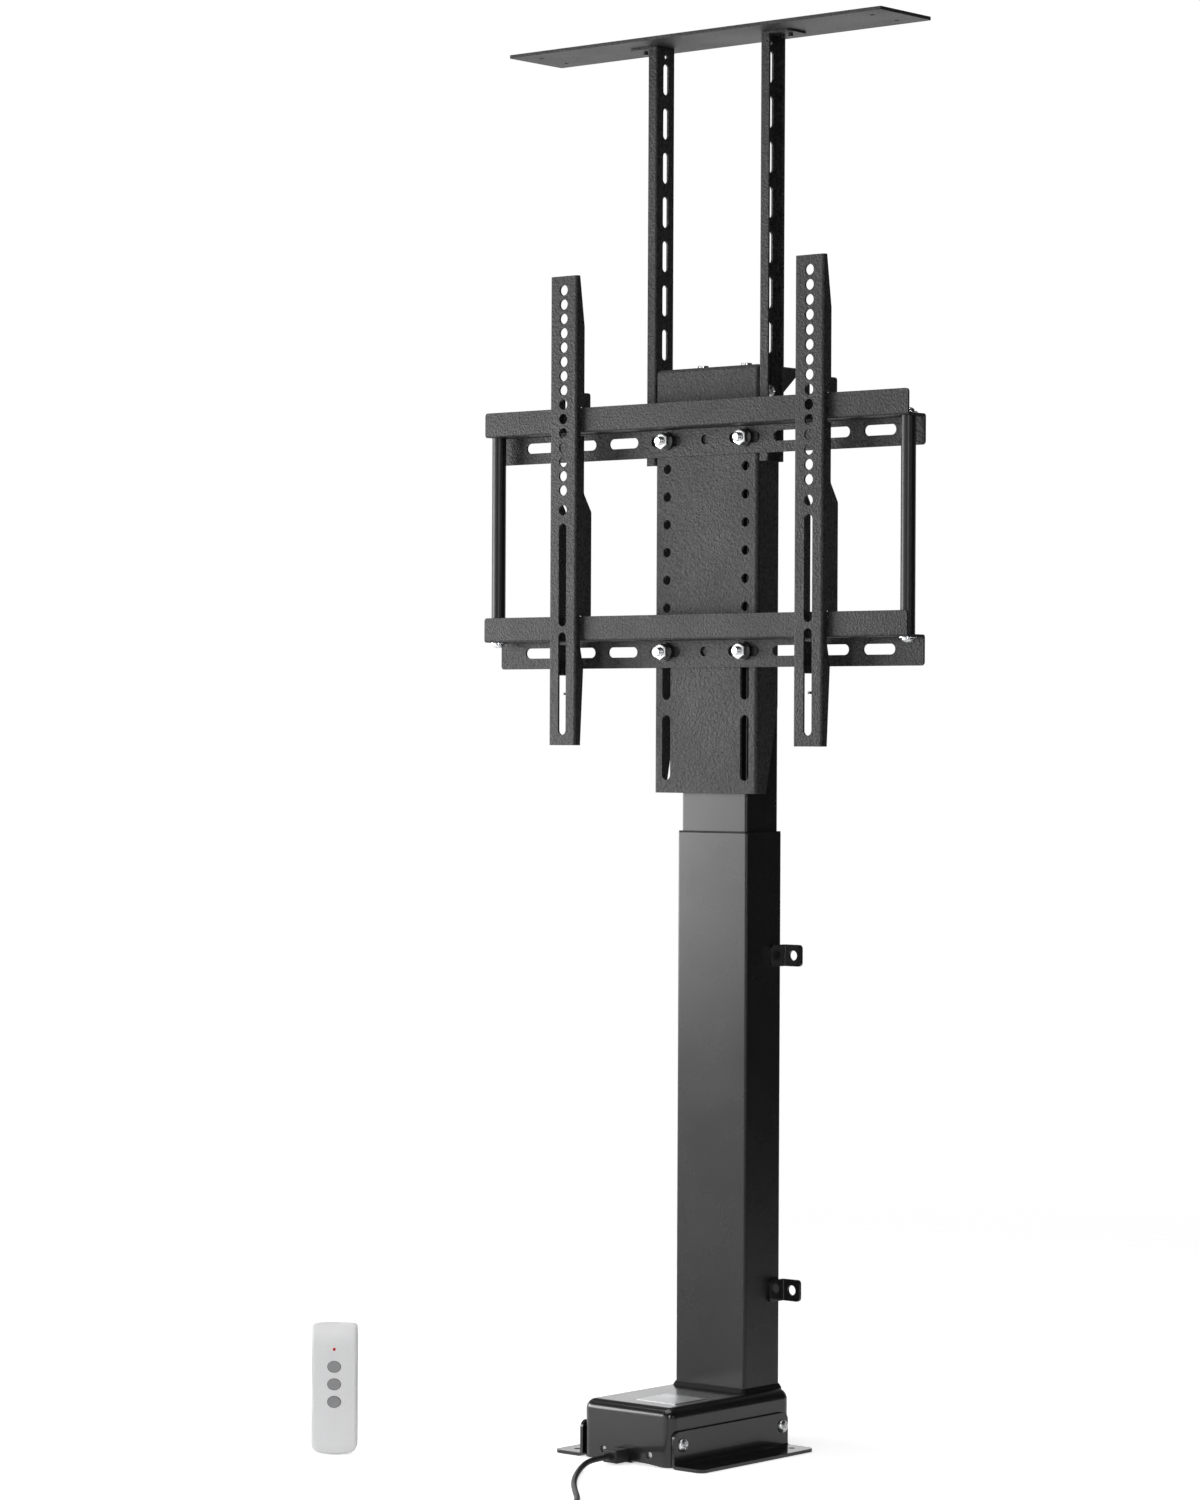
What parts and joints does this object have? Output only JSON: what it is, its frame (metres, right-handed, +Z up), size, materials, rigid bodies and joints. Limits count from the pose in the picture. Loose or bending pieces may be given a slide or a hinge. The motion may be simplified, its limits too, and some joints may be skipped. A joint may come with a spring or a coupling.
{
  "type": "motorised television column lift",
  "caption": "Electric telescopic column lift with rails and hook-on arms for a flat screen, a lid carrier above, a floor housing with its lead, and a hand control.",
  "frame": {"origin": "on the floor, at the centre of the four floor holes of the foot brackets; the axis of the column stands 60 mm behind it", "axes": "+Z up along the column, +X along the rails to the right seen from the screen side, +Y to the back"},
  "size_m": [0.4878, 0.516, 1.2634],
  "materials": {
    "black_textured": "fine textured satin",
    "black_tube": "semi-gloss",
    "black_gloss": "gloss",
    "bright_screws": "polished",
    "zinc_steel": "satin",
    "ground_steel": "ground",
    "die_cast": "as cast",
    "bronze": "satin",
    "black_plastic": "satin",
    "black_gloss_plastic": "gloss",
    "white_nylon": "matte",
    "bare_plate": "satin",
    "green_board": "satin",
    "cord_black": "matte",
    "pale_plastic": "satin",
    "grey_rubber": "matte",
    "red_lamp": "gloss"
  },
  "bodies": {
    "base": {"motor_housing": "black_gloss", "base_plate": "zinc_steel", "left_foot_bracket": "black_gloss", "right_foot_bracket": "black_gloss", "housing_screws": "bright_screws", "blank_plate": "bare_plate", "outer_tube": "black_tube", "column_skirt": "black_gloss_plastic", "guide_collar": "black_plastic", "wall_lugs": "black_gloss", "column_foot": "die_cast", "column_screws": "zinc_steel", "gearbox_case": "die_cast", "gearbox_cover": "die_cast", "gearbox_screws": "zinc_steel", "spindle_bearings": "ground_steel", "drive_motor": "zinc_steel", "control_board": "green_board", "board_parts": "black_plastic", "power_socket": "black_plastic", "lead_connector": "black_plastic", "lead_cord": "cord_black", "lead_coil": "cord_black", "lead_tail": "cord_black", "coil_tie": "black_plastic", "mains_plug": "black_plastic"},
    "lift": {"inner_tube": "black_tube", "inner_tube_cap": "die_cast", "lower_glide": "white_nylon", "drive_nut": "bronze", "carriage_bracket": "black_textured", "cap_screws": "zinc_steel", "upper_rail": "black_textured", "lower_rail": "black_textured", "left_post": "black_tube", "right_post": "black_tube", "post_screws": "bright_screws", "rail_bolts": "bright_screws", "rail_nuts": "bright_screws", "strut_bolts": "bright_screws"},
    "lid": {"left_strut": "black_textured", "right_strut": "black_textured", "lid_plate": "black_textured", "lid_screws": "black_gloss"},
    "left_arm_set": {"left_arm": "black_textured", "left_lock_screw": "zinc_steel"},
    "right_arm_set": {"right_arm": "black_textured", "right_lock_screw": "zinc_steel"},
    "spindle_set": {"spindle": "ground_steel", "worm_wheel": "bronze"},
    "worm_set": {"worm_shaft": "ground_steel"},
    "hand_control": {"remote_front": "pale_plastic", "remote_back": "pale_plastic", "remote_board": "green_board", "remote_lamp": "red_lamp", "remote_battery": "zinc_steel"},
    "up_key": {"remote_up_button": "grey_rubber"},
    "stop_key": {"remote_stop_button": "grey_rubber"},
    "down_key": {"remote_down_button": "grey_rubber"}
  },
  "joints": [
    {"name": "lift_slide", "type": "slide", "parent": "base", "child": "lift", "axis": [0, 0, 1], "range_m": [-0.4, 0]},
    {"name": "spindle_turn", "type": "hinge", "parent": "base", "child": "spindle_set", "pos_m": [0, 0.06, 0.2], "axis": [0, 0, 1], "range_deg": [-5, 9005]},
    {"name": "worm_turn", "type": "hinge", "parent": "base", "child": "worm_set", "pos_m": [0.021, 0.06, 0.024], "axis": [0, 1, 0], "range_deg": [-135005, 5]},
    {"name": "lid_height", "type": "slide", "parent": "lift", "child": "lid", "axis": [0, 0, 1], "range_m": [-0.017, 0.0025]},
    {"name": "left_arm_slide", "type": "slide", "parent": "lift", "child": "left_arm_set", "axis": [1, 0, 0], "range_m": [-0.064, 0.066]},
    {"name": "right_arm_slide", "type": "slide", "parent": "lift", "child": "right_arm_set", "axis": [1, 0, 0], "range_m": [-0.066, 0.064]},
    {"name": "hand_control_lift", "type": "slide", "parent": "base", "child": "hand_control", "axis": [0, 0, 1], "range_m": [0, 0.3]},
    {"name": "up_press", "type": "slide", "parent": "hand_control", "child": "up_key", "axis": [-0.6494, 0.7604, 0], "range_m": [0, 0.0008], "stiffness_N_per_m": 500, "springref_m": -0.0008},
    {"name": "stop_press", "type": "slide", "parent": "hand_control", "child": "stop_key", "axis": [-0.6494, 0.7604, 0], "range_m": [0, 0.0008], "stiffness_N_per_m": 500, "springref_m": -0.0008},
    {"name": "down_press", "type": "slide", "parent": "hand_control", "child": "down_key", "axis": [-0.6494, 0.7604, 0], "range_m": [0, 0.0008], "stiffness_N_per_m": 500, "springref_m": -0.0008}
  ],
  "couplings": [
    {"joint": "spindle_turn", "follows": "lift_slide", "rad_per_m": -392.7},
    {"joint": "worm_turn", "follows": "lift_slide", "rad_per_m": 5890.5}
  ]
}
